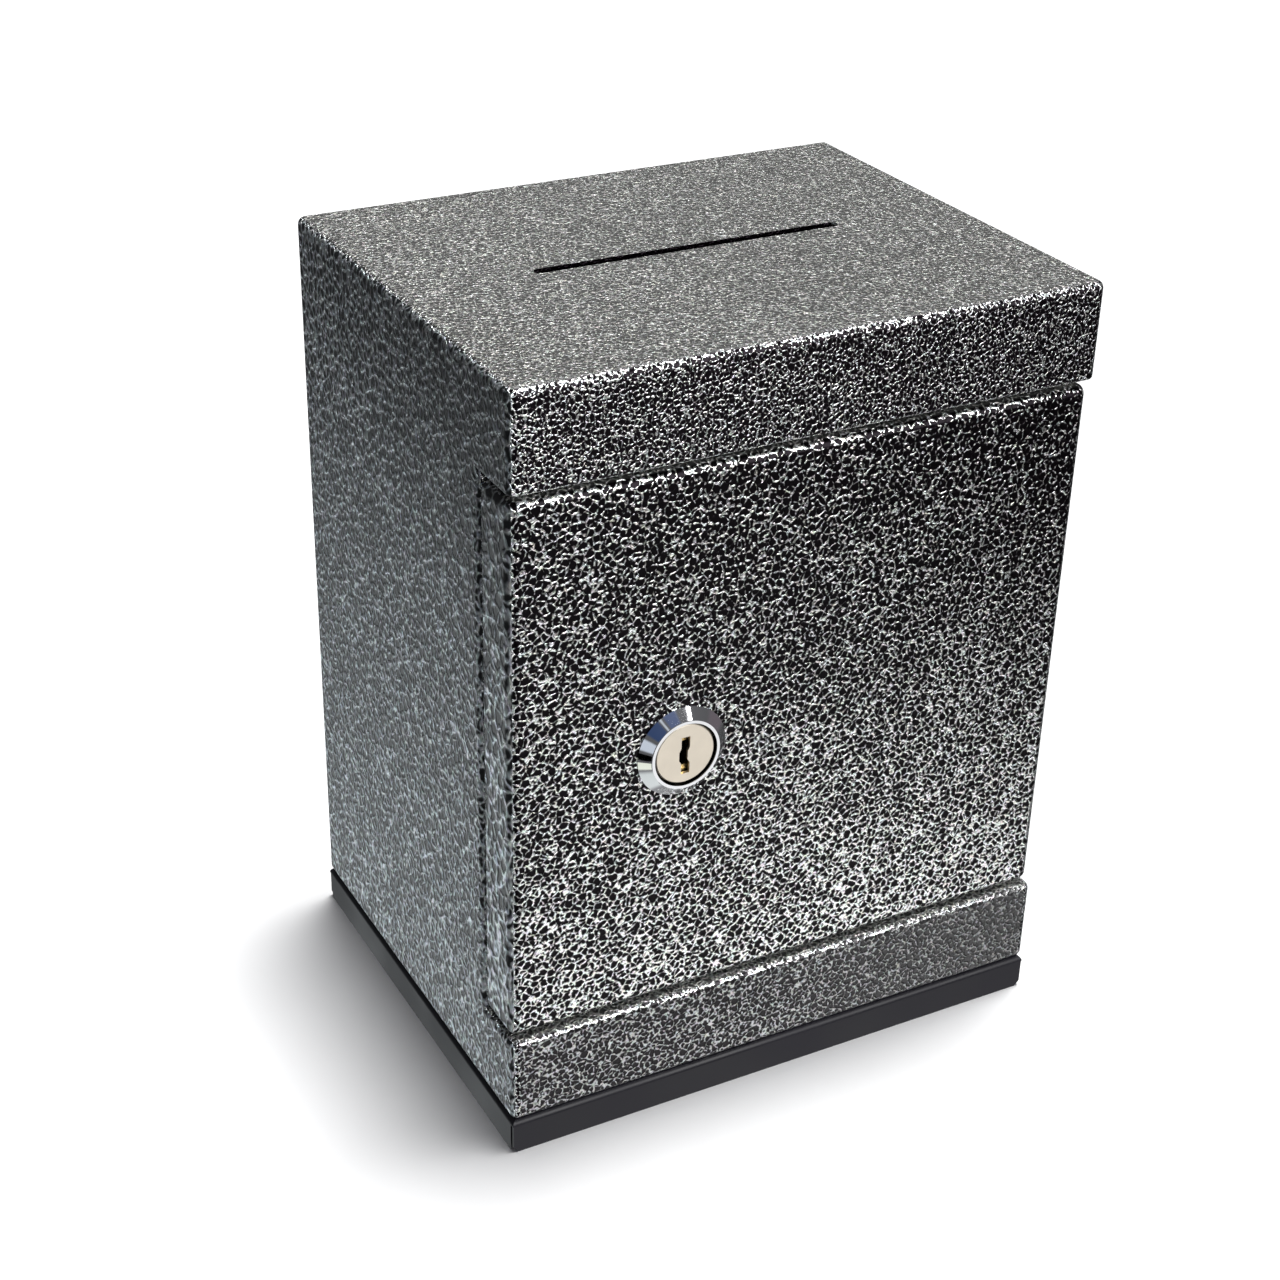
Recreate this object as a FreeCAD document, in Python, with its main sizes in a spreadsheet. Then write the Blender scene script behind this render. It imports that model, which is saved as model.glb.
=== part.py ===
"""Toy safe coin bank: folded sheet steel case, pin-hung front door and cam lock.

Units are millimetres. +X is to the right seen from the front, +Y to the back and +Z up.
The origin is the middle of the footprint, on the surface that the safe stands on.
Each sub-part's Label is the name of its file in parts/.
"""
import FreeCAD
import Part
import Sketcher
import math
import os

from FreeCAD import Placement, Rotation, Vector

# Driving dimensions: name, value in millimetres (or degrees, or a count).
DIMENSIONS = [
    ("width", 150.0),
    ("depth", 120.0),
    ("height", 198.5),
    ("gauge", 1.2),
    ("foldRadius", 2.0),
    # how far a cutting tool runs past the faces that it cuts
    ("overcut", 1.0),
    # base tray
    ("baseHeight", 9.4),
    ("baseGauge", 1.0),
    ("baseBend", 1.6),
    ("cornerStep", 0.2),
    ("cornerSlit", 0.35),
    ("slitFlare", 1.4),
    # door opening, bounded by the kick band below, the cap band above and the jambs behind
    ("kickTop", 32.8),
    ("capBottom", 174.4),
    ("jambFace", 44.5),
    ("bandLap", 6.0),
    ("kickBend", 1.6),
    ("capHem", 1.0),
    ("jambBend", 2.5),
    ("mouthHalfWidth", 61.0),
    ("mouthBottom", 43.0),
    ("mouthTop", 164.0),
    ("returnWidth", 14.0),
    # note slot in the top
    ("slotLength", 81.0),
    ("slotWidth", 3.0),
    # back panel and its rivets
    ("panelGap", 0.1),
    ("panelFlange", 9.0),
    ("rivetX", 68.0),
    ("rivetMargin", 16.0),
    ("rivetRows", 4),
    ("rivetHead", 0.9),
    ("rivetHeadRadius", 3.1),
    ("rivetTail", 2.6),
    ("rivetShank", 3.2),
    # base screws
    ("baseScrewX", 67.0),
    ("baseScrewY", 36.0),
    ("baseScrewBody", 4.0),
    ("baseScrewHead", 7.5),
    ("baseScrewHeadDepth", 2.2),
    ("baseScrewLength", 6.0),
    ("recessLength", 4.0),
    ("recessWidth", 0.9),
    ("recessDepth", 1.2),
    # door
    ("doorWidth", 149.2),
    ("doorBottom", 33.4),
    ("doorTop", 172.6),
    ("doorRecess", 1.5),
    ("doorDepth", 13.0),
    ("doorBend", 2.4),
    ("reliefStart", 0.5),
    ("reliefDepth", 1.5),
    # hinge pins
    ("hingeX", 70.5),
    ("hingeY", -52.5),
    ("pinDiameter", 3.0),
    ("pinClearance", 0.05),
    ("pinHead", 5.0),
    ("pinHeadDepth", 1.5),
    ("pinReach", 4.0),
    ("washerPlay", 0.1),
    ("hingeWasherOuter", 7.0),
    # cam lock: bezel and barrel
    ("lockX", -31.3),
    ("lockZ", 101.7),
    ("bezelProud", 2.4),
    ("bezelBase", 11.45),
    ("bezelLand", 0.3),
    ("bezelRim", 8.95),
    ("rimBevel", 0.15),
    ("mouthGap", 0.45),
    ("mouthDepth", 1.0),
    ("barrelRadius", 9.5),
    ("barrelFlats", 16.0),
    ("lockHoleEase", 0.05),
    ("barrelEnd", 43.0),
    ("lockWasherOuter", 25.0),
    ("lockWasherGauge", 0.6),
    ("nutFlats", 22.0),
    ("nutHeight", 4.0),
    # plug, keyway and wafers
    ("plugHead", 7.58),
    ("plugHeadDepth", 1.6),
    ("plugSink", 0.5),
    ("plugBevel", 0.25),
    ("headPlay", 0.1),
    ("plugBody", 6.0),
    ("plugClearance", 0.06),
    ("keywayWidth", 2.2),
    ("keywayHeight", 9.6),
    ("keywayDrop", 0.35),
    ("keywayDepth", 14.0),
    ("waferCount", 5),
    ("waferStart", 1.9),
    ("waferPitch", 2.0),
    ("waferWidth", 4.4),
    ("waferHeight", 10.6),
    ("waferGauge", 0.7),
    ("waferEase", 0.05),
    ("waferLift", -0.4),
    ("waferStep", -0.3),
    ("windowWidth", 2.4),
    ("windowHeight", 6.4),
    # what is stacked on the plug's tail
    ("tailSquare", 7.0),
    ("stopPlay", 0.05),
    ("stopOuter", 17.0),
    ("stopGauge", 0.5),
    ("camReach", 37.0),
    ("camGauge", 2.0),
    ("camWidth", 13.0),
    ("camNeck", 1.5),
    ("camTip", 11.0),
    ("camTipRadius", 3.0),
    ("camTopRadius", 4.0),
    ("camWasherOuter", 11.0),
    ("camWasherGauge", 0.8),
    ("camScrewBody", 4.0),
    ("camScrewHead", 7.5),
    ("camScrewHeadDepth", 2.8),
    ("camScrewBite", 4.0),
]

doc = FreeCAD.newDocument("coin_bank")


def fill_sheet():
    """Put the driving dimensions in the spreadsheet, one aliased cell each."""
    sheet = doc.addObject("Spreadsheet::Sheet", "dims")
    for row, (alias, value) in enumerate(DIMENSIONS, start=1):
        sheet.set("A%d" % row, alias)
        sheet.set("B%d" % row, str(value))
        sheet.setAlias("B%d" % row, alias)
    doc.recompute()
    return sheet


dims = fill_sheet()


def value(expression):
    """The number that a sheet expression stands for."""
    return float(dims.evalExpression(expression))


# ---------------------------------------------------------------- document helpers


def new_body(name):
    body = doc.addObject("PartDesign::Body", name)
    body.Label = name
    return body


def bind(thing, **expressions):
    """Bind properties to sheet expressions; a double underscore stands for a dot."""
    for prop, expression in expressions.items():
        thing.setExpression(prop.replace("__", "."), expression)


def sketch_on(body, role, name, offset=None):
    """A sketch on one of the body's own origin planes, moved along its normal by offset."""
    sketch = body.newObject("Sketcher::SketchObject", name)
    plane = next(f for f in body.Origin.OriginFeatures if f.Role == role)
    sketch.AttachmentSupport = [(plane, "")]
    sketch.MapMode = "FlatFace"
    if offset is not None:
        sketch.setExpression("AttachmentOffset.Base.z", offset)
    return sketch


def constrain(sketch, kind, *args, expression=None):
    """Add a constraint, and bind its value when an expression is given."""
    index = sketch.addConstraint(Sketcher.Constraint(kind, *args))
    if expression is not None:
        sketch.setExpression("Constraints[%d]" % index, expression)


def draw_polygon(sketch, points):
    """A closed polygon whose corners are pairs of sheet expressions."""
    first = sketch.GeometryCount
    count = len(points)
    # A regular start shape keeps the constraint solver away from degenerate edges.
    turn = 2 * math.pi / count
    start = [Vector(50 * math.cos(turn * k), 50 * math.sin(turn * k), 0) for k in range(count)]
    for k in range(count):
        sketch.addGeometry(Part.LineSegment(start[k], start[(k + 1) % count]))
    for k in range(count):
        constrain(sketch, "Coincident", first + k, 2, first + (k + 1) % count, 1)
    for k, (across, along) in enumerate(points):
        constrain(sketch, "DistanceX", first + k, 1, start[k].x, expression=across)
        constrain(sketch, "DistanceY", first + k, 1, start[k].y, expression=along)


def draw_rectangle(sketch, left, right, low, high):
    draw_polygon(sketch, [(left, low), (right, low), (right, high), (left, high)])


def pad(body, sketch, length, name, reverse=False):
    feature = body.newObject("PartDesign::Pad", name)
    feature.Profile = sketch
    feature.Reversed = reverse
    feature.setExpression("Length", length)
    doc.recompute()
    return feature


def revolve(body, sketch, name):
    """Turn a sketch a full circle about the sketch's horizontal axis."""
    feature = body.newObject("PartDesign::Revolution", name)
    feature.Profile = sketch
    feature.ReferenceAxis = (sketch, ["H_Axis"])
    feature.Angle = 360.0
    doc.recompute()
    return feature


def round_edges(body, wanted, radius, name):
    """Fillet the edges of the body's last feature that satisfy the test."""
    base = body.Tip
    names = ["Edge%d" % (k + 1) for k, edge in enumerate(base.Shape.Edges) if wanted(edge)]
    feature = body.newObject("PartDesign::Fillet", name)
    feature.Base = (base, names)
    feature.setExpression("Radius", radius)
    doc.recompute()
    return feature


def lies_at(edge, axis, level):
    return all(abs(v.Point[axis] - level) < 1e-6 for v in edge.Vertexes)


def place(thing, x="0", y="0", z="0"):
    bind(thing, Placement__Base__x=x, Placement__Base__y=y, Placement__Base__z=z)
    return thing


def turned(name, profile, x, y, z):
    """A body turned from a polygon of (distance behind y, radius) about the line along Y there."""
    body = new_body(name)
    sketch = sketch_on(body, "XY_Plane", name + "_profile")
    draw_polygon(sketch, profile)
    revolve(body, sketch, name + "_turned")
    body.Placement = Placement(Vector(), Rotation(Vector(0, 0, 1), 90))
    place(body, x, y, z)
    doc.recompute()
    return body


def box(name, left, right, front, back, low, high):
    """A Part::Box between six sheet expressions."""
    thing = doc.addObject("Part::Box", name)
    bind(
        thing,
        Length="(%s) - (%s)" % (right, left),
        Width="(%s) - (%s)" % (back, front),
        Height="(%s) - (%s)" % (high, low),
    )
    return place(thing, left, front, low)


def cylinder(name, diameter, length, x="0", y="0", z="0", along="Z"):
    """A Part::Cylinder that starts at x, y, z and runs along +Z or +Y."""
    thing = doc.addObject("Part::Cylinder", name)
    bind(thing, Radius="(%s) / 2" % diameter, Height=length)
    if along == "Y":
        thing.Placement = Placement(Vector(), Rotation(Vector(1, 0, 0), -90))
    return place(thing, x, y, z)


def fuse(name, things):
    thing = doc.addObject("Part::MultiFuse", name)
    thing.Shapes = things
    thing.Refine = True
    thing.Label = name
    doc.recompute()
    return thing


def cut(name, base, tool):
    thing = doc.addObject("Part::Cut", name)
    thing.Base = base
    thing.Tool = tool
    thing.Refine = True
    thing.Label = name
    doc.recompute()
    return thing


def common(name, base, tool):
    thing = doc.addObject("Part::Common", name)
    thing.Base = base
    thing.Tool = tool
    thing.Refine = True
    thing.Label = name
    doc.recompute()
    return thing


def group(name, things):
    """Separate solids that share one node."""
    thing = doc.addObject("Part::Compound", name)
    thing.Links = things
    thing.Label = name
    doc.recompute()
    return thing


# ---------------------------------------------------------------- case


def limits_of(left, right, front, back, low, high):
    """A block's six faces, each with its sheet expression."""
    return dict(left=left, right=right, front=front, back=back, low=low, high=high)


def inset(limits, skin, open_face=None):
    """The same faces moved inwards by skin, except an open face, which moves out past the block."""
    moved = {}
    for face, expression in limits.items():
        inward = "+" if face in ("left", "front", "low") else "-"
        outward = "-" if inward == "+" else "+"
        sign, step = (outward, "dims.overcut") if face == open_face else (inward, skin)
        moved[face] = "%s %s (%s)" % (expression, sign, step)
    return moved


# The edges of a block, named by the two faces that meet there.
BACK_EDGES = ["back left", "back right", "back high", "back low"]
FRONT_EDGES = ["front left", "front right", "front high", "front low"]
LONG_EDGES = ["left high", "right high", "left low", "right low"]


def folded_block(name, limits, folds):
    """A block with folded edges. Each fold pairs a radius with edges, named by their two faces."""
    body = new_body(name)
    sketch = sketch_on(body, "XY_Plane", name + "_plan", limits["low"])
    draw_rectangle(sketch, limits["left"], limits["right"], limits["front"], limits["back"])
    pad(body, sketch, "(%s) - (%s)" % (limits["high"], limits["low"]), name + "_pad")
    axis_of = dict(left=0, right=0, front=1, back=1, low=2, high=2)
    level_of = {face: value(expression) for face, expression in limits.items()}
    for k, (radius, edges) in enumerate(folds):
        pairs = [edge.split() for edge in edges]

        def wanted(edge, pairs=pairs):
            return any(all(lies_at(edge, axis_of[f], level_of[f]) for f in pair) for pair in pairs)

        round_edges(body, wanted, radius, "%s_fold%d" % (name, k))
    return body


def folded_pan(name, limits, open_face, edges, bend, gauge):
    """A sheet pan: a folded block with the same block, moved in by the gauge, cut out of it."""
    outer = folded_block(name + "_outer", limits, [(bend, edges)])
    inner_bend = "%s - %s" % (bend, gauge)
    inner = folded_block(name + "_inner", inset(limits, gauge, open_face), [(inner_bend, edges)])
    return cut(name + "_form", outer, inner)


def case_form(name, skin):
    """The case's outer form, moved inwards by skin on every face.

    It is a main block behind the jamb plane, with the kick block and the cap block in front.
    """
    half = "dims.width / 2"
    front, jamb, lap = "-dims.depth / 2", "-dims.jambFace", "-dims.jambFace + dims.bandLap"
    fold = "dims.foldRadius - %s" % skin
    main = folded_block(
        name + "_main",
        inset(limits_of("-" + half, half, jamb, "dims.depth / 2", "dims.baseHeight", "dims.height"), skin),
        [
            (fold, BACK_EDGES + LONG_EDGES),
            ("dims.jambBend - %s" % skin, ["front left", "front right"]),
        ],
    )
    kick = folded_block(
        name + "_kick",
        inset(limits_of("-" + half, half, front, lap, "dims.baseHeight", "dims.kickTop"), skin),
        [
            (fold, ["front left", "front right", "front low", "left low", "right low"]),
            ("dims.kickBend - %s" % skin, ["front high", "left high", "right high"]),
        ],
    )
    cap_folds = [(fold, ["front left", "front right", "front high", "left high", "right high"])]
    if skin == "0":
        cap_folds.append(("dims.capHem", ["front low", "left low", "right low"]))
    cap = folded_block(
        name + "_cap",
        inset(limits_of("-" + half, half, front, lap, "dims.capBottom", "dims.height"), skin),
        cap_folds,
    )
    return fuse(name, [main, kick, cap])


def case_openings():
    """Everything that is cut through the case sheet, as one tool."""
    through = "dims.gauge + 2 * dims.overcut"
    half_return = "dims.width / 2 - dims.returnWidth"
    depth_return = "dims.depth / 2 - dims.returnWidth"
    slot_straight = "(dims.slotLength - dims.slotWidth)"
    tools = [
        box(
            "mouth_tool",
            "-dims.mouthHalfWidth",
            "dims.mouthHalfWidth",
            "-dims.jambFace - dims.overcut",
            "-dims.jambFace + dims.gauge + dims.overcut",
            "dims.mouthBottom",
            "dims.mouthTop",
        ),
        box(
            "rear_tool",
            "-(%s)" % half_return,
            half_return,
            "dims.depth / 2 - dims.gauge - dims.overcut",
            "dims.depth / 2 + dims.overcut",
            "dims.baseHeight + dims.returnWidth",
            "dims.height - dims.returnWidth",
        ),
        box(
            "floor_tool",
            "-(%s)" % half_return,
            half_return,
            "-(%s)" % depth_return,
            depth_return,
            "dims.baseHeight - dims.overcut",
            "dims.baseHeight + dims.gauge + dims.overcut",
        ),
        box(
            "slot_tool",
            "-%s / 2" % slot_straight,
            "%s / 2" % slot_straight,
            "-dims.slotWidth / 2",
            "dims.slotWidth / 2",
            "dims.height - dims.gauge - dims.overcut",
            "dims.height + dims.overcut",
        ),
    ]
    for side, sign in (("left", "-"), ("right", "")):
        tools.append(
            cylinder(
                "slot_end_%s" % side,
                "dims.slotWidth",
                through,
                "%s%s / 2" % (sign, slot_straight),
                "0",
                "dims.height - dims.gauge - dims.overcut",
            )
        )
    for name, face in (("upper", "dims.capBottom"), ("lower", "dims.kickTop - dims.gauge")):
        level = face + " - dims.overcut"
        tools.append(
            cylinder("%s_pin_hole" % name, "dims.pinDiameter", through, "dims.hingeX", "dims.hingeY", level)
        )
    for k, (x, z) in enumerate(rivet_places()):
        tools.append(
            cylinder(
                "rivet_hole_%d" % k,
                "dims.rivetShank",
                through,
                x,
                "dims.depth / 2 - dims.gauge - dims.overcut",
                z,
                "Y",
            )
        )
    for k, (x, y) in enumerate(base_screw_places()):
        level = "dims.baseHeight - dims.overcut"
        tools.append(cylinder("screw_hole_%d" % k, "dims.baseScrewBody", through, x, y, level))
    return fuse("case_openings", tools)


def rivet_places():
    """Rivet centres on the rear returns, in rows evenly spaced up each side."""
    run = "(dims.height - dims.baseHeight - 2 * dims.rivetMargin) / (dims.rivetRows - 1)"
    places = []
    for sign in ("-", ""):
        for row in range(int(value("dims.rivetRows"))):
            level = "dims.baseHeight + dims.rivetMargin + %d * %s" % (row, run)
            places.append(("%sdims.rivetX" % sign, level))
    return places


def base_screw_places():
    return [("%sdims.baseScrewX" % sx, "%sdims.baseScrewY" % sy) for sx in ("-", "") for sy in ("-", "")]


def make_case():
    """The sheet case, parted at its weld lines into wrap, kick panel and cap rail."""
    shell = cut("case_shell", case_form("case_outer", "0"), case_form("case_inner", "dims.gauge"))
    shell = cut("case_sheet", shell, case_openings())
    weld = "dims.width / 2 - dims.foldRadius"
    inner_jamb = "-dims.jambFace + dims.gauge"
    kick_zone = box(
        "kick_zone",
        "-(%s)" % weld,
        weld,
        "-dims.depth / 2 - dims.overcut",
        inner_jamb,
        "dims.baseHeight - dims.overcut",
        "dims.mouthBottom",
    )
    rail_zone = box(
        "rail_zone",
        "-(%s)" % weld,
        weld,
        "-dims.depth / 2 + dims.gauge",
        inner_jamb,
        "dims.mouthTop",
        "dims.capBottom + dims.gauge",
    )
    common("kick_panel", shell, kick_zone)
    common("cap_rail", shell, rail_zone)
    cut("case_wrap", shell, fuse("parting", [kick_zone, rail_zone]))


def make_back_panel():
    """A rear panel behind the returns, with a flange folded forward on every side."""
    gap = "dims.gauge + dims.panelGap"
    rear = "dims.depth / 2 - dims.gauge"
    form = folded_pan(
        "back_panel",
        limits_of(
            "-dims.width / 2 + %s" % gap,
            "dims.width / 2 - (%s)" % gap,
            "%s - dims.panelFlange" % rear,
            rear,
            "dims.baseHeight + %s" % gap,
            "dims.height - (%s)" % gap,
        ),
        "front",
        BACK_EDGES + LONG_EDGES,
        "dims.foldRadius",
        "dims.gauge",
    )
    start = "%s - dims.gauge - dims.overcut" % rear
    through = "dims.gauge + 2 * dims.overcut"
    holes = [
        cylinder("panel_hole_%d" % k, "dims.rivetShank", through, x, start, z, "Y")
        for k, (x, z) in enumerate(rivet_places())
    ]
    cut("back_panel", form, fuse("back_panel_holes", holes))


def make_back_rivets():
    """Blind rivets: a domed head outside, a shank through both sheets and an upset tail inside."""
    grip = "-2 * dims.gauge"
    profile = [
        ("%s - dims.rivetTail" % grip, "0"),
        ("%s - dims.rivetTail" % grip, "dims.rivetShank * 0.6"),
        ("%s - dims.rivetTail * 0.8" % grip, "dims.rivetShank * 0.75"),
        (grip, "dims.rivetShank * 0.75"),
        (grip, "dims.rivetShank / 2"),
        ("0", "dims.rivetShank / 2"),
        ("0", "dims.rivetHeadRadius"),
        ("dims.rivetHead * 0.4", "dims.rivetHeadRadius * 0.93"),
        ("dims.rivetHead * 0.85", "dims.rivetHeadRadius * 0.6"),
        ("dims.rivetHead", "dims.rivetHeadRadius * 0.3"),
        ("dims.rivetHead", "0"),
    ]
    rivets = []
    for k, (x, z) in enumerate(rivet_places()):
        rivets.append(turned("rivet_%d" % k, profile, x, "dims.depth / 2", z))
    group("back_rivets", rivets)


def make_base_tray():
    """An inverted pan whose corners are left open, as folded and not welded."""
    form = folded_pan(
        "base_tray",
        limits_of(
            "-dims.width / 2", "dims.width / 2", "-dims.depth / 2", "dims.depth / 2", "0", "dims.baseHeight"
        ),
        "low",
        ["left high", "right high", "front high", "back high"],
        "dims.baseBend",
        "dims.baseGauge",
    )
    start = "dims.baseHeight - dims.baseGauge - dims.overcut"
    through = "dims.baseGauge + 2 * dims.overcut"
    tools = [
        cylinder("base_hole_%d" % k, "dims.baseScrewBody", through, x, y, start)
        for k, (x, y) in enumerate(base_screw_places())
    ]
    tools += tray_corner_tools()
    cut("base_tray", form, fuse("base_tray_tools", tools))


def tray_corner_tools():
    """The front and back walls stop a step short of the sides; a slit parts the side walls from them."""
    high = "dims.baseHeight - dims.baseBend"
    outer, inner = "(dims.width / 2 + dims.overcut)", "(dims.width / 2 - dims.cornerStep)"
    outline = [
        (outer, "-dims.overcut"),
        (outer, high),
        (inner, high),
        (inner, "dims.slitFlare"),
        ("(%s - dims.slitFlare)" % inner, "0"),
        ("(%s - dims.slitFlare)" % inner, "-dims.overcut"),
    ]
    reach = "(dims.baseGauge + dims.cornerSlit)"
    ends = {"front": "dims.depth / 2 - %s" % reach, "back": "-(dims.depth / 2 + dims.overcut)"}
    tools = []
    for side, sign in (("left", "-"), ("right", "")):
        for end, start in ends.items():
            body = new_body("corner_step_%s_%s" % (end, side))
            sketch = sketch_on(body, "XZ_Plane", "corner_step_%s_%s_outline" % (end, side), start)
            draw_polygon(sketch, [("%s%s" % (sign, x), z) for x, z in outline])
            pad(body, sketch, "%s + dims.overcut" % reach, "corner_step_%s_%s_pad" % (end, side))
            tools.append(body)
    near, far = "(dims.depth / 2 - dims.baseGauge - dims.cornerSlit)", "(dims.depth / 2 - dims.baseGauge)"
    wall = "(dims.width / 2 - dims.baseGauge)"
    for side, x0, x1 in (("left", "-" + outer, "-" + wall), ("right", wall, outer)):
        for end, y0, y1 in (("front", "-" + far, "-" + near), ("back", near, far)):
            tools.append(box("corner_slit_%s_%s" % (end, side), x0, x1, y0, y1, "-dims.overcut", high))
    return tools


def make_base_screws():
    """Pan-head screws, driven up through the tray into the case's bottom returns."""
    seat = "dims.baseHeight - dims.baseGauge"
    face = "%s - dims.baseScrewHeadDepth" % seat
    screws = []
    for k, (x, y) in enumerate(base_screw_places()):
        head = cylinder("base_head_%d" % k, "dims.baseScrewHead", "dims.baseScrewHeadDepth", x, y, face)
        shank = cylinder("base_shank_%d" % k, "dims.baseScrewBody", "dims.baseScrewLength", x, y, seat)
        recess = cross_recess("base_recess_%d" % k, (x, y, face), "Z")
        screws.append(cut("base_screw_%d" % k, fuse("base_blank_%d" % k, [head, shank]), recess))
    group("base_screws", screws)


def cross_recess(name, centre, along):
    """A cross recess for a screwdriver, sunk both ways from the centre along Y or Z."""
    bars = []
    for bar, first, second in (("a", "recessLength", "recessWidth"), ("b", "recessWidth", "recessLength")):
        sizes = ["dims.%s" % first, "dims.%s" % second]
        sizes.insert("XYZ".index(along), "2 * dims.recessDepth")
        faces = ["%s %s %s / 2" % (centre[k // 2], "-+"[k % 2], sizes[k // 2]) for k in range(6)]
        bars.append(box("%s_bar_%s" % (name, bar), *faces))
    return fuse(name, bars)


# ---------------------------------------------------------------- hinge


def on_hinge(name, diameter, low, high):
    """A round on the hinge axis between two levels."""
    return cylinder(name, diameter, "(%s) - (%s)" % (high, low), "dims.hingeX", "dims.hingeY", low)


def make_hinge():
    """Two headed pins, pressed into the cap rail and the sill, with a washer on each."""
    rail_top = "dims.capBottom + dims.gauge"
    sill_bottom = "dims.kickTop - dims.gauge"
    upper_end = "dims.doorTop - dims.gauge - dims.pinReach"
    lower_end = "dims.doorBottom + dims.gauge + dims.pinReach"
    upper_head = on_hinge("upper_head", "dims.pinHead", rail_top, rail_top + " + dims.pinHeadDepth")
    upper_shank = on_hinge("upper_shank", "dims.pinDiameter", upper_end, rail_top)
    fuse("upper_hinge_pin", [upper_head, upper_shank])
    lower_head = on_hinge("lower_head", "dims.pinHead", sill_bottom + " - dims.pinHeadDepth", sill_bottom)
    lower_shank = on_hinge("lower_shank", "dims.pinDiameter", sill_bottom, lower_end)
    fuse("lower_hinge_pin", [lower_head, lower_shank])
    for name, low, high in (
        ("upper_hinge_washer", "dims.doorTop + dims.washerPlay", "dims.capBottom"),
        ("lower_hinge_washer", "dims.kickTop", "dims.doorBottom - dims.washerPlay"),
    ):
        ring = on_hinge(name + "_ring", "dims.hingeWasherOuter", low, high)
        cut(name, ring, on_hinge(name + "_bore", "dims.pinDiameter", low, high))


# ---------------------------------------------------------------- door


def make_door():
    """The door pan: a face with four flanges, the lock's double-flat hole and two pin holes."""
    half = "dims.doorWidth / 2"
    front = "-dims.depth / 2 + dims.doorRecess"
    rear = "%s + dims.doorDepth" % front
    form = folded_pan(
        "door",
        limits_of("-" + half, half, front, rear, "dims.doorBottom", "dims.doorTop"),
        "back",
        FRONT_EDGES + LONG_EDGES,
        "dims.doorBend",
        "dims.gauge",
    )
    relief = box(
        "hinge_relief",
        "dims.hingeX + dims.reliefStart",
        "dims.doorWidth / 2 + dims.overcut",
        "%s - dims.reliefDepth" % rear,
        "%s + dims.overcut" % rear,
        "dims.doorBottom - dims.overcut",
        "dims.doorTop + dims.overcut",
    )
    pin_hole = cylinder(
        "door_pin_hole",
        "dims.pinDiameter + 2 * dims.pinClearance",
        "dims.doorTop - dims.doorBottom + 2 * dims.overcut",
        "dims.hingeX",
        "dims.hingeY",
        "dims.doorBottom - dims.overcut",
    )
    near, far = "%s - dims.overcut" % front, "%s + dims.gauge + dims.overcut" % front
    hole = double_flat("door_lock_hole", "dims.lockHoleEase", near, far)
    cut("door_skin", form, fuse("door_tools", [relief, pin_hole, hole]))


def double_flat(name, ease, near, far):
    """The barrel's cross-section, a round with upright flats, grown by ease, from near to far."""
    length = "(%s) - (%s)" % (far, near)
    diameter = "2 * (dims.barrelRadius + %s)" % ease
    bar = cylinder(name + "_round", diameter, length, "dims.lockX", near, "dims.lockZ", "Y")
    flats = box(
        name + "_flats",
        "dims.lockX - dims.barrelFlats / 2 - %s" % ease,
        "dims.lockX + dims.barrelFlats / 2 + %s" % ease,
        near,
        far,
        "dims.lockZ - dims.barrelRadius - dims.overcut",
        "dims.lockZ + dims.barrelRadius + dims.overcut",
    )
    return common(name, bar, flats)


# ---------------------------------------------------------------- lock


# The lock's axis, where it crosses the plane of the case's front.
LOCK_CENTRE = ("dims.lockX", "-dims.depth / 2", "dims.lockZ")
BEZEL_FRONT = "dims.doorRecess - dims.bezelProud"
BARREL_REAR = "-dims.barrelEnd"
TAIL_START = "-dims.barrelEnd + dims.stopPlay"


def on_lock(name, diameter, near, length):
    """A round on the lock's axis that starts at y = near."""
    return cylinder(name, diameter, length, "dims.lockX", near, "dims.lockZ", "Y")


def block_on_lock(name, half_x, half_z, near, length):
    """A block centred on the lock's axis that starts at y = near."""
    x, z = "dims.lockX", "dims.lockZ"
    return box(
        name,
        "%s - %s" % (x, half_x),
        "%s + %s" % (x, half_x),
        near,
        "%s + %s" % (near, length),
        "%s - %s" % (z, half_z),
        "%s + %s" % (z, half_z),
    )


def make_lock_housing():
    """The barrel with its conical bezel, a flat rim and a counterbore that is wider at its mouth."""
    bezel = turned(
        "lock_bezel",
        [
            (BEZEL_FRONT, "0"),
            (BEZEL_FRONT, "dims.bezelRim - dims.rimBevel"),
            ("%s + dims.rimBevel" % BEZEL_FRONT, "dims.bezelRim"),
            ("dims.doorRecess - dims.bezelLand", "dims.bezelBase"),
            ("dims.doorRecess", "dims.bezelBase"),
            ("dims.doorRecess", "0"),
        ],
        *LOCK_CENTRE,
    )
    barrel = double_flat("lock_barrel", "0", "-dims.depth / 2 + dims.doorRecess", BARREL_REAR)
    start = "-dims.depth / 2 + %s" % BEZEL_FRONT
    head_diameter = "2 * (dims.plugHead + dims.plugClearance)"
    head_bore = on_lock("plug_head_bore", head_diameter, start, "dims.plugHeadDepth + dims.headPlay")
    mouth = on_lock("bore_mouth", "%s + 2 * dims.mouthGap" % head_diameter, start, "dims.mouthDepth")
    bore = on_lock("plug_bore", "2 * (dims.plugBody + dims.plugClearance)", start, "dims.depth")
    cut("lock_housing", fuse("lock_body", [bezel, barrel]), fuse("plug_bores", [mouth, head_bore, bore]))


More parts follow.
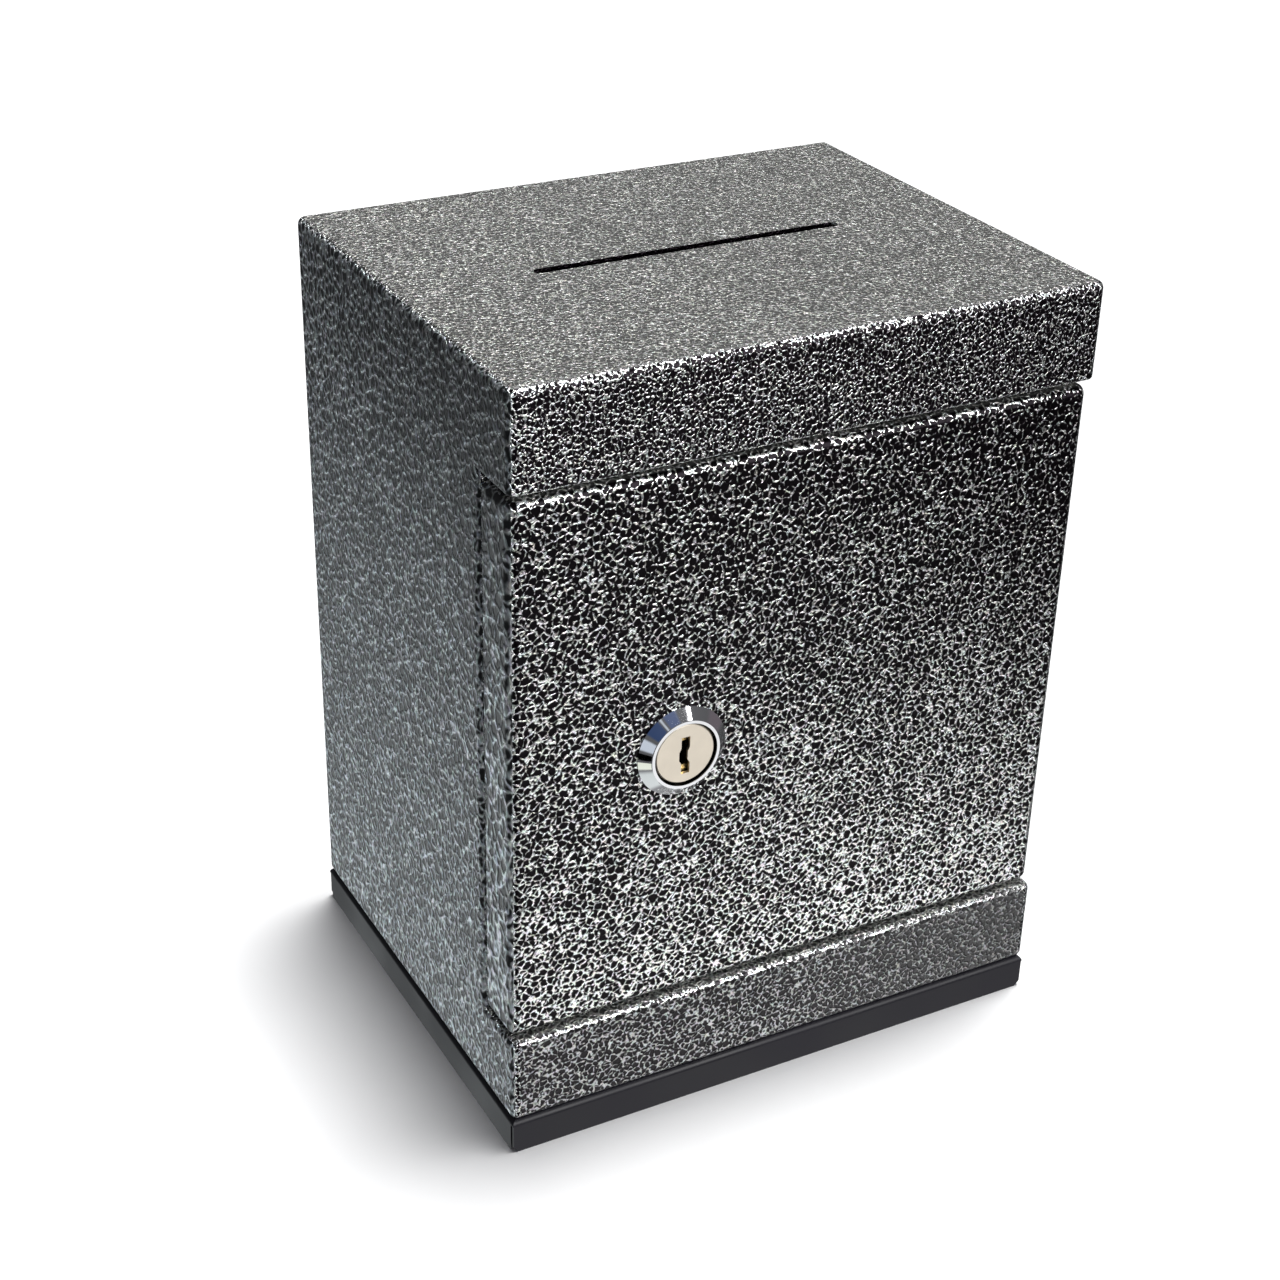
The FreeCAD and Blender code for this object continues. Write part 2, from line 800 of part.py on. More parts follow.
def make_lock_fixings():
    """The spring washer and the hexagon nut that clamp the barrel to the door sheet."""
    seat = "-dims.depth / 2 + dims.doorRecess + dims.gauge"
    bore = on_lock("nut_bore", "2 * dims.barrelRadius", seat, "dims.lockWasherGauge + dims.nutHeight")
    ring = on_lock("lock_washer_ring", "dims.lockWasherOuter", seat, "dims.lockWasherGauge")
    cut("lock_washer", ring, bore)
    hexagon = doc.addObject("Part::Prism", "nut_blank")
    hexagon.Polygon = 6
    bind(hexagon, Circumradius="dims.nutFlats / sqrt(3)", Height="dims.nutHeight")
    hexagon.Placement = Placement(Vector(), Rotation(Vector(1, 0, 0), -90))
    place(hexagon, "dims.lockX", "%s + dims.lockWasherGauge" % seat, "dims.lockZ")
    cut("lock_nut", hexagon, bore)


def wafer_face(k):
    """Where the slot of wafer k starts."""
    return "-dims.depth / 2 + %s + dims.waferStart + %d * dims.waferPitch" % (BEZEL_FRONT, k)


def make_plug():
    """The plug: a head, a body with wafer slots, a square tail and the wavy keyway."""
    front = "%s + dims.plugSink" % BEZEL_FRONT
    shoulder = "%s + dims.plugHeadDepth" % BEZEL_FRONT
    rear = "dims.depth / 2 + (%s)" % TAIL_START
    plug = turned(
        "plug_turned",
        [
            (front, "0"),
            (front, "dims.plugHead - dims.plugBevel"),
            ("%s + dims.plugBevel" % front, "dims.plugHead"),
            (shoulder, "dims.plugHead"),
            (shoulder, "dims.plugBody"),
            (rear, "dims.plugBody"),
            (rear, "0"),
        ],
        *LOCK_CENTRE,
    )
    half_tail = "dims.tailSquare / 2"
    tail = block_on_lock("plug_tail", half_tail, half_tail, TAIL_START, "dims.stopGauge + dims.camGauge")
    tools = [make_keyway()]
    for k in range(int(value("dims.waferCount"))):
        half_slot = "(dims.waferWidth / 2 + dims.waferEase)"
        thickness = "dims.waferGauge + 2 * dims.waferEase"
        tools.append(block_on_lock("wafer_slot_%d" % k, half_slot, "dims.plugHead", wafer_face(k), thickness))
    tap = "%s - dims.camScrewBite" % TAIL_START
    tools.append(on_lock("tail_tap", "dims.camScrewBody", tap, "2 * dims.camScrewBite"))
    cut("lock_plug", fuse("plug_solid", [plug, tail]), fuse("plug_tools", tools))


def make_keyway():
    """The keyway's wavy outline, cut in from the plug's face."""
    body = new_body("keyway_tool")
    start = "dims.depth / 2 - (%s) + dims.overcut" % BEZEL_FRONT
    sketch = sketch_on(body, "XZ_Plane", "keyway_outline", start)
    # Both edges step the same way at each level: (part of the half height, step to the right).
    steps = [(-1.0, 0.1), (-0.45, 0.1), (-0.25, -0.45), (0.2, -0.45), (0.42, 0.05), (1.0, 0.05)]
    edges = []
    for sign in ("+", "-"):
        across = "dims.lockX %s dims.keywayWidth / 2 + (%%.2f)" % sign
        edges.append(
            [
                (across % step, "dims.lockZ - dims.keywayDrop + (%.2f) * dims.keywayHeight / 2" % level)
                for level, step in steps
            ]
        )
    draw_polygon(sketch, edges[0] + edges[1][::-1])
    pad(body, sketch, "dims.keywayDepth + dims.overcut", "keyway_pad", reverse=True)
    return body


def make_wafers():
    """Brass wafers, drawn level with the plug; each window sits at its own height."""
    wafers = []
    for k in range(int(value("dims.waferCount"))):
        near = "%s + dims.waferEase" % wafer_face(k)
        blank = block_on_lock(
            "wafer_blank_%d" % k, "dims.waferWidth / 2", "dims.waferHeight / 2", near, "dims.waferGauge"
        )
        half_x, half_z = "dims.windowWidth / 2", "dims.windowHeight / 2"
        window = block_on_lock("wafer_window_%d" % k, half_x, half_z, near, "dims.waferGauge")
        lift = "dims.waferLift - %d * dims.waferStep" % (k % 3)
        place(window, "dims.lockX - %s" % half_x, near, "dims.lockZ - %s + %s" % (half_z, lift))
        wafers.append(cut("wafer_%d" % k, blank, window))
    group("lock_wafers", wafers)


def make_cam_plate(near):
    """The cam hangs from the tail, with a narrower tip; its square hole is cut later."""
    body = new_body("cam_plate")
    sketch = sketch_on(body, "XZ_Plane", "cam_outline", "-(%s)" % near)
    wide, narrow = "dims.camWidth / 2", "(dims.camWidth / 2 - dims.camNeck)"
    top, tip = "dims.lockZ + %s" % wide, "dims.lockZ - dims.camReach"
    waist_low, waist_high = "%s + dims.camTip" % tip, "%s + dims.camTip + 2 * dims.camNeck" % tip
    right = [(narrow, tip), (narrow, waist_low), (wide, waist_high), (wide, top)]
    outline = [("dims.lockX + %s" % across, level) for across, level in right]
    outline += [("dims.lockX - %s" % across, level) for across, level in right[::-1]]
    draw_polygon(sketch, outline)
    pad(body, sketch, "dims.camGauge", "cam_pad", reverse=True)
    for name, level, radius in (("tip", tip, "dims.camTipRadius"), ("top", top, "dims.camTopRadius")):

        def wanted(edge, height=value(level)):
            ends = [vertex.Point for vertex in edge.Vertexes]
            return lies_at(edge, 2, height) and abs(ends[0].y - ends[-1].y) > 1e-6

        round_edges(body, wanted, radius, "cam_%s" % name)
    return body


def make_tail():
    """What is stacked on the plug's tail: stop washer, cam, washer and screw."""
    half_tail = "dims.tailSquare / 2"
    hole = block_on_lock("tail_hole", half_tail, half_tail, TAIL_START, "dims.stopGauge + dims.camGauge")
    cut("plug_stop", on_lock("stop_ring", "dims.stopOuter", TAIL_START, "dims.stopGauge"), hole)
    cam_face = "%s + dims.stopGauge" % TAIL_START
    cut("lock_cam", make_cam_plate(cam_face), hole)

    outer = "%s + dims.camGauge" % cam_face
    ring = on_lock("cam_washer_ring", "dims.camWasherOuter", outer, "dims.camWasherGauge")
    hole = on_lock("cam_washer_hole", "dims.camScrewBody", outer, "dims.camWasherGauge")
    cut("cam_washer", ring, hole)

    head_face = "%s + dims.camWasherGauge" % outer
    head = on_lock("cam_screw_head", "dims.camScrewHead", head_face, "dims.camScrewHeadDepth")
    root = "%s - dims.camScrewBite" % TAIL_START
    shank = on_lock("cam_screw_shank", "dims.camScrewBody", root, "(%s) - (%s)" % (head_face, root))
    recess = cross_recess(
        "cam_screw_recess", ("dims.lockX", "%s + dims.camScrewHeadDepth" % head_face, "dims.lockZ"), "Y"
    )
    cut("cam_screw", fuse("cam_screw_blank", [head, shank]), recess)


# ---------------------------------------------------------------- output

NODES = """
    case_wrap kick_panel cap_rail back_panel back_rivets base_tray base_screws
    upper_hinge_pin lower_hinge_pin upper_hinge_washer lower_hinge_washer
    door_skin lock_housing lock_washer lock_nut
    lock_plug lock_wafers plug_stop lock_cam cam_washer cam_screw
""".split()


def check_document():
    """Stop if any object failed or any node's shape isn't sound."""
    for thing in doc.Objects:
        bad = [state for state in thing.State if state in ("Invalid", "Error")]
        if bad:
            raise RuntimeError("%s is %s" % (thing.Name, ", ".join(bad)))
    for name in NODES:
        shape = doc.getObjectsByLabel(name)[0].Shape
        if shape.isNull() or not shape.isValid() or not shape.Solids:
            raise RuntimeError("%s has no sound shape" % name)


def write_nodes():
    os.makedirs("parts", exist_ok=True)
    for name in NODES:
        shape = doc.getObjectsByLabel(name)[0].Shape
        shape.exportStep("parts/%s.step" % name)
        print("%-20s solids %d, volume %9.1f" % (name, len(shape.Solids), shape.Volume))


make_case()
make_back_panel()
make_back_rivets()
make_base_tray()
make_base_screws()
make_hinge()
make_door()
make_lock_housing()
make_lock_fixings()
make_plug()
make_wafers()
make_tail()
doc.recompute()
check_document()
write_nodes()
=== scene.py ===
"""Looks of the toy safe: materials, floor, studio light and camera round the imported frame.

Lengths are metres, in the frame's own axes: +X right, +Y to the back, +Z up.
"""

import math

import bpy
from mathutils import Matrix, Vector

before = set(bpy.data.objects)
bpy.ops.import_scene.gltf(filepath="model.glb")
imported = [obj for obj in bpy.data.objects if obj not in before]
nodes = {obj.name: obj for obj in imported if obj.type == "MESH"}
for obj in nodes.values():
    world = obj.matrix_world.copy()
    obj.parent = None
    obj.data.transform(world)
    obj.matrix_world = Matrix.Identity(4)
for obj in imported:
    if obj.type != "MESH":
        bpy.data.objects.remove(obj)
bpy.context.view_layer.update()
scene = bpy.context.scene

MM = 0.001
LOCK = (-31.3 * MM, 0.0, 101.7 * MM)  # a point on the lock's axis


# ---------------------------------------------------------------- node helpers


class Graph:
    """A material's node tree, with a call for each kind of node that is used here."""

    def __init__(self, name):
        self.material = bpy.data.materials.new(name)
        self.material.use_nodes = True
        self.tree = self.material.node_tree
        self.tree.nodes.clear()
        self.shader = self.add("ShaderNodeBsdfPrincipled")
        output = self.add("ShaderNodeOutputMaterial")
        self.link(self.shader.outputs[0], output.inputs["Surface"])
        coordinates = self.add("ShaderNodeTexCoord")
        self.position = coordinates.outputs["Object"]
        self.normal = coordinates.outputs["Normal"]

    def add(self, kind):
        return self.tree.nodes.new(kind)

    def link(self, source, target):
        self.tree.links.new(source, target)

    def feed(self, socket, value):
        """Link an output to a socket, or set a plain value on it."""
        if isinstance(value, bpy.types.NodeSocket):
            self.link(value, socket)
        elif value is not None:
            socket.default_value = value

    def math(self, operation, *values):
        node = self.add("ShaderNodeMath")
        node.operation = operation
        for socket, value in zip(node.inputs, values):
            self.feed(socket, value)
        return node.outputs[0]

    def vector(self, operation, *values, scale=None):
        node = self.add("ShaderNodeVectorMath")
        node.operation = operation
        for socket, value in zip(node.inputs, values):
            self.feed(socket, value)
        if scale is not None:
            self.feed(node.inputs["Scale"], scale)
        return node.outputs[0]

    def axes(self, vector):
        node = self.add("ShaderNodeSeparateXYZ")
        self.link(vector, node.inputs[0])
        return node.outputs

    def noise(self, vector, scale, detail=0.0, colour=False):
        node = self.add("ShaderNodeTexNoise")
        self.link(vector, node.inputs["Vector"])
        self.feed(node.inputs["Scale"], scale)
        self.feed(node.inputs["Detail"], detail)
        return node.outputs["Color" if colour else "Fac"]

    def cells(self, vector, scale):
        """The distance to the nearest cell border."""
        edge = self.add("ShaderNodeTexVoronoi")
        edge.feature = "DISTANCE_TO_EDGE"
        self.link(vector, edge.inputs["Vector"])
        self.feed(edge.inputs["Scale"], scale)
        return edge.outputs["Distance"]

    def ramp(self, value, low, high, start=0.0, end=1.0, smooth=True):
        """Value between low and high as start to end, held beyond them."""
        node = self.add("ShaderNodeMapRange")
        node.interpolation_type = "SMOOTHSTEP" if smooth else "LINEAR"
        for name, given in (
            ("Value", value), ("From Min", low), ("From Max", high), ("To Min", start), ("To Max", end)
        ):
            self.feed(node.inputs[name], given)
        return node.outputs[0]

    def mix(self, factor, first, second):
        node = self.add("ShaderNodeMix")
        node.data_type = "RGBA"
        self.feed(node.inputs["Factor"], factor)
        for name, given in (("A", first), ("B", second)):
            socket = [s for s in node.inputs if s.name == name and s.type == "RGBA"][0]
            self.feed(socket, (*given, 1.0) if isinstance(given, tuple) else given)
        return [s for s in node.outputs if s.type == "RGBA"][0]

    def turned(self, vector, angles, offset):
        node = self.add("ShaderNodeMapping")
        self.link(vector, node.inputs["Vector"])
        node.inputs["Rotation"].default_value = angles
        node.inputs["Location"].default_value = offset
        return node.outputs[0]

    def bump(self, height, distance, strength=1.0):
        node = self.add("ShaderNodeBump")
        self.link(height, node.inputs["Height"])
        node.inputs["Distance"].default_value = distance
        node.inputs["Strength"].default_value = strength
        return node.outputs[0]

    def set(self, **inputs):
        """Feed the shader's sockets; a double underscore stands for a space."""
        for name, value in inputs.items():
            given = (*value, 1.0) if isinstance(value, tuple) else value
            self.feed(self.shader.inputs[name.replace("__", " ")], given)
        return self.material


# ---------------------------------------------------------------- paint


def hammertone(name, cell, fills, fronts, seed, flat=0.0, back=1.0):
    """Hammertone enamel: dark dished cells in a raised silver network.

    Each kind of face (front, side, top) pairs the colour of its cells with the colour of its veins; how
    these colours differ is partly the coat's own and partly painted light and shade. Cell is the size of
    the cells. Fills are the share that the veins take at the top and at the foot, partly a painted gradient
    of light. Flat is how far the contrast fades to the right, which is painted shade, and back says whether
    rear faces look like sides.
    """
    g = Graph(name)
    across, along, up = g.axes(g.position)
    sideways, facing, rising = g.axes(g.normal)

    # kinds of face
    aside = g.math("MAXIMUM", g.math("ABSOLUTE", sideways), g.math("MULTIPLY", facing, back))
    is_side = g.ramp(aside, 0.3, 0.85)
    is_top = g.ramp(rising, 0.75, 0.98)
    is_front = g.math("MULTIPLY", g.math("SUBTRACT", 1.0, is_side), g.math("SUBTRACT", 1.0, is_top))
    # bends of the front faces, which get extra silver as a painted highlight
    bend = g.ramp(g.math("ABSOLUTE", g.math("ADD", facing, 0.75)), 0.0, 0.22, 1.0, 0.0)
    bend = g.math("MULTIPLY", bend, is_front)

    # the cell pattern, drawn out upwards on the sides, with its edges bent by noise
    stretch = g.mix(g.math("GREATER_THAN", aside, 0.6), (1.0, 1.0, 1.0), SIDE_STRETCH)
    stretch = g.mix(g.math("GREATER_THAN", rising, 0.85), stretch, (1.0, 1.0, 1.0))
    p = g.turned(g.vector("MULTIPLY", g.position, stretch), (0.6, 0.9, 0.4), (0.31 + seed, 0.17, 0.23))
    drift = g.vector("SUBTRACT", g.noise(p, 0.9 / cell, colour=True), (0.5, 0.5, 0.5))
    edge = g.cells(g.vector("ADD", p, g.vector("SCALE", drift, scale=0.6 * cell)), 0.85 / cell)
    blend = g.math("SUBTRACT", g.noise(p, 1.9 / cell), 0.5)
    field = g.math("SUBTRACT", edge, g.math("MULTIPLY", blend, 0.42))

    # how much the veins fill: more to the foot, at the lower right and on the bends. The gradient is partly
    # the pattern's own and partly painted light and shade, and the extra silver on the bends is a painted
    # highlight
    lean = g.math("MULTIPLY", across, g.math("MULTIPLY_ADD", up, -26.0, 2.6))
    slope = g.math("MULTIPLY_ADD", up, -4.0, lean)
    patch = g.math("SUBTRACT", g.noise(g.position, 22.0, 2.0), 0.5)
    fill = g.ramp(g.math("ADD", slope, g.math("MULTIPLY", patch, 0.25)), -0.85, -0.08, *fills, smooth=False)
    shifted = g.math("SUBTRACT", field, g.math("ADD", fill, g.math("MULTIPLY", bend, 0.13)))
    vein = g.ramp(shifted, -0.01, 0.12, 1.0, 0.0)
    dish = g.ramp(shifted, -0.10, 0.30, 1.0, 0.0)
    soft = g.ramp(g.math("SUBTRACT", shifted, g.math("MULTIPLY", is_side, 0.04)), -0.06, 0.20, 1.0, 0.0)

    # silver in the veins, and none on the walls of the note slot
    upright = g.math("GREATER_THAN", g.math("ABSOLUTE", facing), 0.9)
    in_slot = g.math("MULTIPLY", upright, g.math("LESS_THAN", g.math("ABSOLUTE", along), SLOT_HALF))
    silver = g.math("MULTIPLY", g.ramp(is_front, 0.0, 1.0, soft, vein), g.math("SUBTRACT", 1.0, in_slot))

    # colours: by kind of face, partly painted light and shade; the front fades to the right as painted
    # shade, and the left side darkens to its top front corner as painted shade
    fade = g.ramp(across, -20.0 * MM, 70.0 * MM, 0.0, flat)
    fronts = [g.mix(fade, front, (0.13, 0.13, 0.13)) for front in fronts]
    cell_tone, vein_tone = [
        g.mix(is_top, g.mix(is_side, front, side), top) for front, side, top in zip(fronts, SIDES, TOPS)
    ]
    speck = g.noise(p, 1.5 / cell, 1.0, colour=True)
    speck = g.vector("MULTIPLY_ADD", speck, (0.4, 0.4, 0.4), (0.82, 0.82, 0.82))
    # painted shade: the left side darker towards its top front corner
    corner = g.ramp(g.math("MULTIPLY_ADD", along, -0.6, up), 0.13, 0.21, 1.0, 0.45)
    shade = g.ramp(sideways, -0.8, -0.5, corner, 1.0)
    tint = g.vector("SCALE", g.vector("MULTIPLY", vein_tone, speck), scale=shade)
    glint = g.ramp(g.noise(p, 0.55 / cell), 0.35, 0.62, 0.82, 1.0)

    relief = g.math("ADD", dish, g.math("MULTIPLY", g.noise(p, 3.2 / cell, 1.0), 0.12))
    return g.set(
        Base__Color=g.mix(g.math("MULTIPLY", silver, glint), cell_tone, tint),
        Metallic=g.math(
            "MULTIPLY", g.math("MAXIMUM", silver, is_front), g.ramp(is_front, 0.0, 1.0, 0.8, 0.96)
        ),
        Roughness=g.ramp(vein, 0.0, 1.0, 0.30, g.ramp(is_front, 0.0, 1.0, 0.28, 0.20)),
        Specular__IOR__Level=0.3,
        Coat__Weight=0.06,
        Coat__Roughness=0.12,
        Normal=g.bump(g.math("MULTIPLY", relief, g.ramp(is_front, 0.0, 1.0, 1.8, 0.6)), 0.20 * MM),
    )


SIDE_STRETCH = (1.0, 0.62, 0.46)
SLOT_HALF = 1.7 * MM  # half the note slot's width, and a little more
# Colours of the cells and of the veins. Their differences between faces and panels are partly the coat's
# own and partly painted light and shade.
SIDES = ((0.006, 0.008, 0.009), (0.84, 0.91, 0.94))
TOPS = ((0.032, 0.032, 0.031), (0.52, 0.525, 0.50))
DOOR_FRONT = ((0.005, 0.0035, 0.005), (0.93, 0.95, 0.93))
CASE_FRONT = ((0.007, 0.005, 0.007), (0.80, 0.82, 0.81))
KICK_FRONT = ((0.022, 0.020, 0.022), (0.48, 0.49, 0.49))

door_paint = hammertone("door_enamel", 1.50 * MM, (-0.085, 0.065), DOOR_FRONT, 0.0, back=0.0)
case_paint = hammertone("case_enamel", 1.08 * MM, (-0.045, 0.02), CASE_FRONT, 1.0)
kick_paint = hammertone("kick_enamel", 1.40 * MM, (0.0, 0.02), KICK_FRONT, 2.0, flat=0.55)


# ---------------------------------------------------------------- other finishes


def satin_black():
    """The base tray's powder coat: violet-black satin with a fine peel."""
    g = Graph("base_powder_coat")
    peel = g.noise(g.position, 900.0, 2.0)
    cloud = g.noise(g.position, 30.0, 2.0)
    return g.set(
        Base__Color=g.mix(g.ramp(cloud, 0.3, 0.7), (0.005, 0.0045, 0.008), (0.008, 0.007, 0.012)),
        Specular__IOR__Level=0.3,
        Roughness=g.ramp(cloud, 0.3, 0.7, 0.38, 0.48),
        Normal=g.bump(peel, 0.02 * MM, 0.6),
    )


def metal(name, colour, rough, fine, variation=0.1, bump=0.004, dark_from=None):
    """A plain metal with slight colour and gloss variation; fine is the grain per metre.

    Behind y = dark_from the lock's mouth and its keyway are painted dark: painted shade where little light
    reaches in.
    """
    g = Graph(name)
    cloud = g.noise(g.position, 180.0, 3.0)
    grain = g.noise(g.position, fine, 2.0)
    darker = tuple((1 - variation) * c for c in colour)
    tone = g.mix(g.ramp(cloud, 0.3, 0.7), darker, colour)
    # painted shade in the lock's mouth and keyway
    if dark_from is not None:
        _, depth, _ = g.axes(g.position)
        aside, _, above = g.axes(g.vector("SUBTRACT", g.position, LOCK))
        squared = g.math("ADD", g.math("MULTIPLY", aside, aside), g.math("MULTIPLY", above, above))
        outside = g.ramp(squared, (8.3 * MM) ** 2, (8.4 * MM) ** 2)
        unshaded = g.math("MAXIMUM", g.ramp(depth, dark_from, dark_from + 0.5 * MM, 1.0, 0.0), outside)
        unshaded = g.math("MAXIMUM", unshaded, g.ramp(depth, -46.0 * MM, -44.0 * MM))
        tone = g.mix(unshaded, (0.012, 0.010, 0.008), tone)
    return g.set(
        Base__Color=tone,
        Metallic=1.0,
        Roughness=g.ramp(grain, 0.25, 0.75, 0.8 * rough, 1.2 * rough),
        Normal=g.bump(grain, bump * MM, 0.5),
    )


base_coat = satin_black()
# dark_from paints shade into the lock's mouth and keyway
bezel_chrome = metal("bezel_chrome", (0.88, 0.89, 0.91), 0.05, 2000.0, 0.03, 0.0005, -60.85 * MM)
plug_nickel = metal("plug_nickel", (0.90, 0.82, 0.69), 0.42, 9000.0, 0.06, 0.003, -59.9 * MM)
wafer_brass = metal("wafer_brass", (0.78, 0.58, 0.26), 0.28, 6000.0, dark_from=-58.2 * MM)
zinc = metal("zinc_plate", (0.62, 0.63, 0.66), 0.34, 5000.0, 0.15)
aluminium = metal("rivet_aluminium", (0.72, 0.73, 0.74), 0.36, 4000.0, 0.12)


def nylon():
    g = Graph("washer_nylon")
    cloud = g.noise(g.position, 500.0, 2.0)
    return g.set(
        Base__Color=g.mix(cloud, (0.62, 0.60, 0.54), (0.70, 0.68, 0.62)),
        Roughness=g.ramp(cloud, 0.3, 0.7, 0.4, 0.55),
    )


FINISHES = {
    "hammertone_paint": case_paint,
    "black_paint": base_coat,
    "rivet_aluminium": aluminium,
    "zinc_steel": zinc,
    "nylon": nylon(),
    "bezel_chrome": bezel_chrome,
    "plug_nickel": plug_nickel,
    "wafer_brass": wafer_brass,
}

for name, node in nodes.items():
    for slot in node.material_slots:
        slot.material = FINISHES[slot.material.name]
nodes["door_skin"].material_slots[0].material = door_paint
nodes["kick_panel"].material_slots[0].material = kick_paint


# ---------------------------------------------------------------- floor, light, camera


def floor():
    g = Graph("studio_floor")
    bpy.ops.mesh.primitive_plane_add(size=12.0, location=(0, 0, 0))
    plane = bpy.context.object
    plane.name = "floor"
    plane.data.materials.append(
        g.set(Base__Color=(0.93, 0.93, 0.93), Roughness=0.7, Specular__IOR__Level=0.2)
    )
    plane.visible_glossy = False
    plane.visible_diffuse = False
    return plane


def softbox(name, centre, aim, width, height, power, colour=(1.0, 1.0, 1.0)):
    data = bpy.data.lights.new(name, "AREA")
    data.shape = "RECTANGLE"
    data.size, data.size_y = width, height
    data.energy = power
    data.color = colour
    lamp = bpy.data.objects.new(name, data)
    scene.collection.objects.link(lamp)
    lamp.location = centre
    lamp.rotation_mode = "QUATERNION"
    lamp.rotation_quaternion = (Vector(aim) - Vector(centre)).to_track_quat("-Z", "Y")
    return lamp


def link(lamp, receiver, state):
    """Let the lamp light only the receiver (INCLUDE), or all but it (EXCLUDE)."""
    group = bpy.data.collections.new(lamp.name + "_receivers")
    group.objects.link(receiver)
    group.collection_objects[0].light_linking.link_state = state
    lamp.light_linking.receiver_collection = group


def wash(ground):
    """An even light on the floor alone, from a little behind and to the right."""
    data = bpy.data.lights.new("floor_wash", "SUN")
    data.energy, data.angle = 4.2, math.radians(19.0)
    lamp = bpy.data.objects.new("floor_wash", data)
    scene.collection.objects.link(lamp)
    lamp.rotation_euler = (math.radians(-2.5), math.radians(8.0), 0.0)
    link(lamp, ground, "INCLUDE")


def heading(azimuth, elevation):
    """The direction at degrees to the right of -Y and degrees above the horizon."""
    a, e = math.radians(azimuth), math.radians(elevation)
    return Vector((math.sin(a) * math.cos(e), -math.cos(a) * math.cos(e), math.sin(e)))


def camera():
    """The camera looks from the front left and above, at a point inside the safe."""
    back, roll = heading(-28.12, 29.09), math.radians(1.11)
    target, distance = Vector((-17.0 * MM, 0.0, 95.5 * MM)), 576.9 * MM
    right = (-back).cross(Vector((0, 0, 1))).normalized()
    up = right.cross(-back)
    turned_right = math.cos(roll) * right + math.sin(roll) * up
    turned_up = -math.sin(roll) * right + math.cos(roll) * up
    data = bpy.data.cameras.new("camera")
    data.sensor_width = 36.0
    data.lens = 64.39
    data.shift_x, data.shift_y = 0.0174, 0.0065
    data.clip_start, data.clip_end = 0.01, 50.0
    eye = bpy.data.objects.new("camera", data)
    scene.collection.objects.link(eye)
    columns = Matrix((turned_right, turned_up, back)).transposed()
    eye.matrix_world = Matrix.Translation(target + back * distance) @ columns.to_4x4()
    scene.camera = eye


# The sky's brightness by the sine of the elevation.
SKY = [(-1.0, 0.30), (-0.75, 0.22), (-0.50, 0.12), (-0.3, 0.10), (0.0, 0.10), (0.5, 0.12), (1.0, 0.20)]
# Rounds in it: azimuth, elevation, inner and outer radius in degrees, and the light added there.
PATCHES = [
    (27.0, -51.0, 13.0, 31.0, (0.88, 0.88, 0.88)),
    (36.0, -41.0, 3.0, 11.0, (0.58, 0.58, 0.58)),
    (29.0, -25.0, 3.0, 9.0, (0.20, 0.20, 0.20)),
    (46.0, -20.0, 5.0, 15.0, (-0.30, -0.30, -0.30)),
    (-159.0, -38.0, 11.0, 17.0, (0.82, 0.88, 0.90)),
    (-152.0, -20.0, 4.0, 9.0, (-0.20, -0.20, -0.20)),
    # for the bezel's cone, from its left round by its top to its right
    (-51.0, -38.0, 5.0, 9.0, (0.72, 0.76, 0.62)),
    (-52.0, -68.0, 12.0, 22.0, (0.46, 0.50, 0.48)),
    (-48.0, -22.0, 4.0, 6.0, (-0.5, -0.5, -0.5)),
    (-44.0, -3.0, 7.0, 11.0, (0.50, 0.55, 0.62)),
    (-31.0, 23.0, 10.0, 15.0, (-0.07, -0.045, 0.03)),
    (-16.0, 33.0, 1.0, 3.0, (0.50, 0.55, 0.60)),
    (2.0, 40.0, 7.0, 13.0, (-0.03, 0.0, 0.10)),
    (14.0, 43.0, 1.5, 4.0, (0.50, 0.50, 0.50)),
    (92.0, 5.0, 16.0, 24.0, (0.04, 0.02, 0.03)),
]


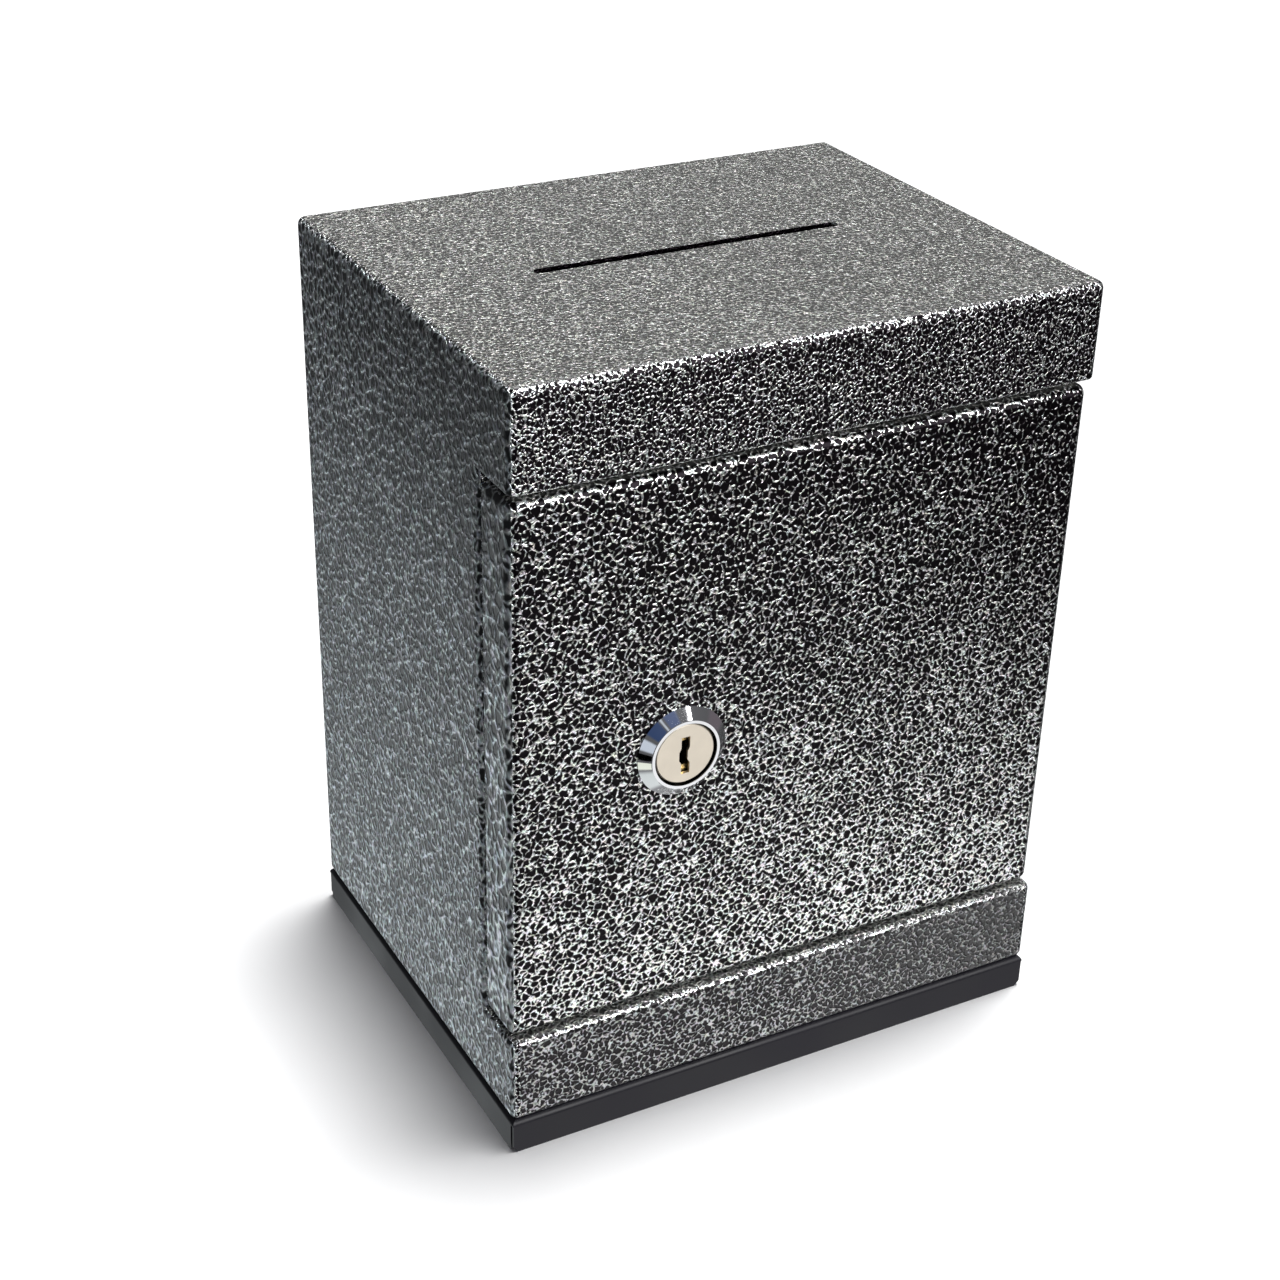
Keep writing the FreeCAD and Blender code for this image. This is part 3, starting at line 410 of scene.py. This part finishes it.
def sky():
    """A pale room to the eye. What the surfaces reflect is a studio with a dim band round the horizon."""
    world = bpy.data.worlds.new("studio")
    world.use_nodes = True
    tree = world.node_tree

    def node(kind, *inputs):
        made = tree.nodes.new(kind)
        for socket, value in zip(made.inputs, inputs):
            if isinstance(value, bpy.types.NodeSocket):
                tree.links.new(value, socket)
            elif value is not None:
                socket.default_value = value
        return made

    direction = node("ShaderNodeTexCoord").outputs["Generated"]
    parts = node("ShaderNodeSeparateXYZ", direction)
    height = node("ShaderNodeMapRange", parts.outputs["Z"], -1.0, 1.0)
    band = node("ShaderNodeValToRGB", height.outputs[0])
    stops = band.color_ramp.elements
    for k, (sine, level) in enumerate(SKY):
        stop = stops[k] if k < 2 else stops.new(1.0)
        stop.position = (sine + 1) / 2
        stop.color = (level, level, 1.04 * level, 1.0)
    total = band.outputs["Color"]
    for azimuth, elevation, inner, outer, colour in PATCHES:
        dot = node("ShaderNodeVectorMath", direction, heading(azimuth, elevation))
        dot.operation = "DOT_PRODUCT"
        edges = [math.cos(math.radians(angle)) for angle in (outer, inner)]
        near = node("ShaderNodeMapRange", dot.outputs["Value"], *edges, 0.0, 1.0)
        near.interpolation_type = "SMOOTHSTEP"
        patch = node("ShaderNodeVectorMath", near.outputs[0], colour, total)
        patch.operation = "MULTIPLY_ADD"
        total = patch.outputs[0]
    lit = node("ShaderNodeVectorMath", total, (0.0, 0.0, 0.0))
    lit.operation = "MAXIMUM"
    glow = node("ShaderNodeBackground", lit.outputs[0], 1.0).outputs[0]
    seen = node("ShaderNodeBackground", (1.0, 1.0, 1.0, 1.0), 1.0)
    path = node("ShaderNodeLightPath")
    choose = node("ShaderNodeMixShader", path.outputs["Is Camera Ray"], glow, seen.outputs[0])
    tree.links.new(choose.outputs[0], tree.nodes["World Output"].inputs["Surface"])
    scene.world = world


ground = floor()
sky()
scene.view_settings.view_transform = "Standard"
overhead = softbox("overhead", (0.22, 0.18, 1.25), (0.0, 0.0, 0.1), 1.2, 0.9, 38.0)
strip = softbox("front_strip", (0.35, -1.04, 0.45), (0.0, 0.0, 0.12), 0.8, 0.75, 13.0)
link(overhead, ground, "EXCLUDE")
link(strip, ground, "EXCLUDE")
wash(ground)
camera()
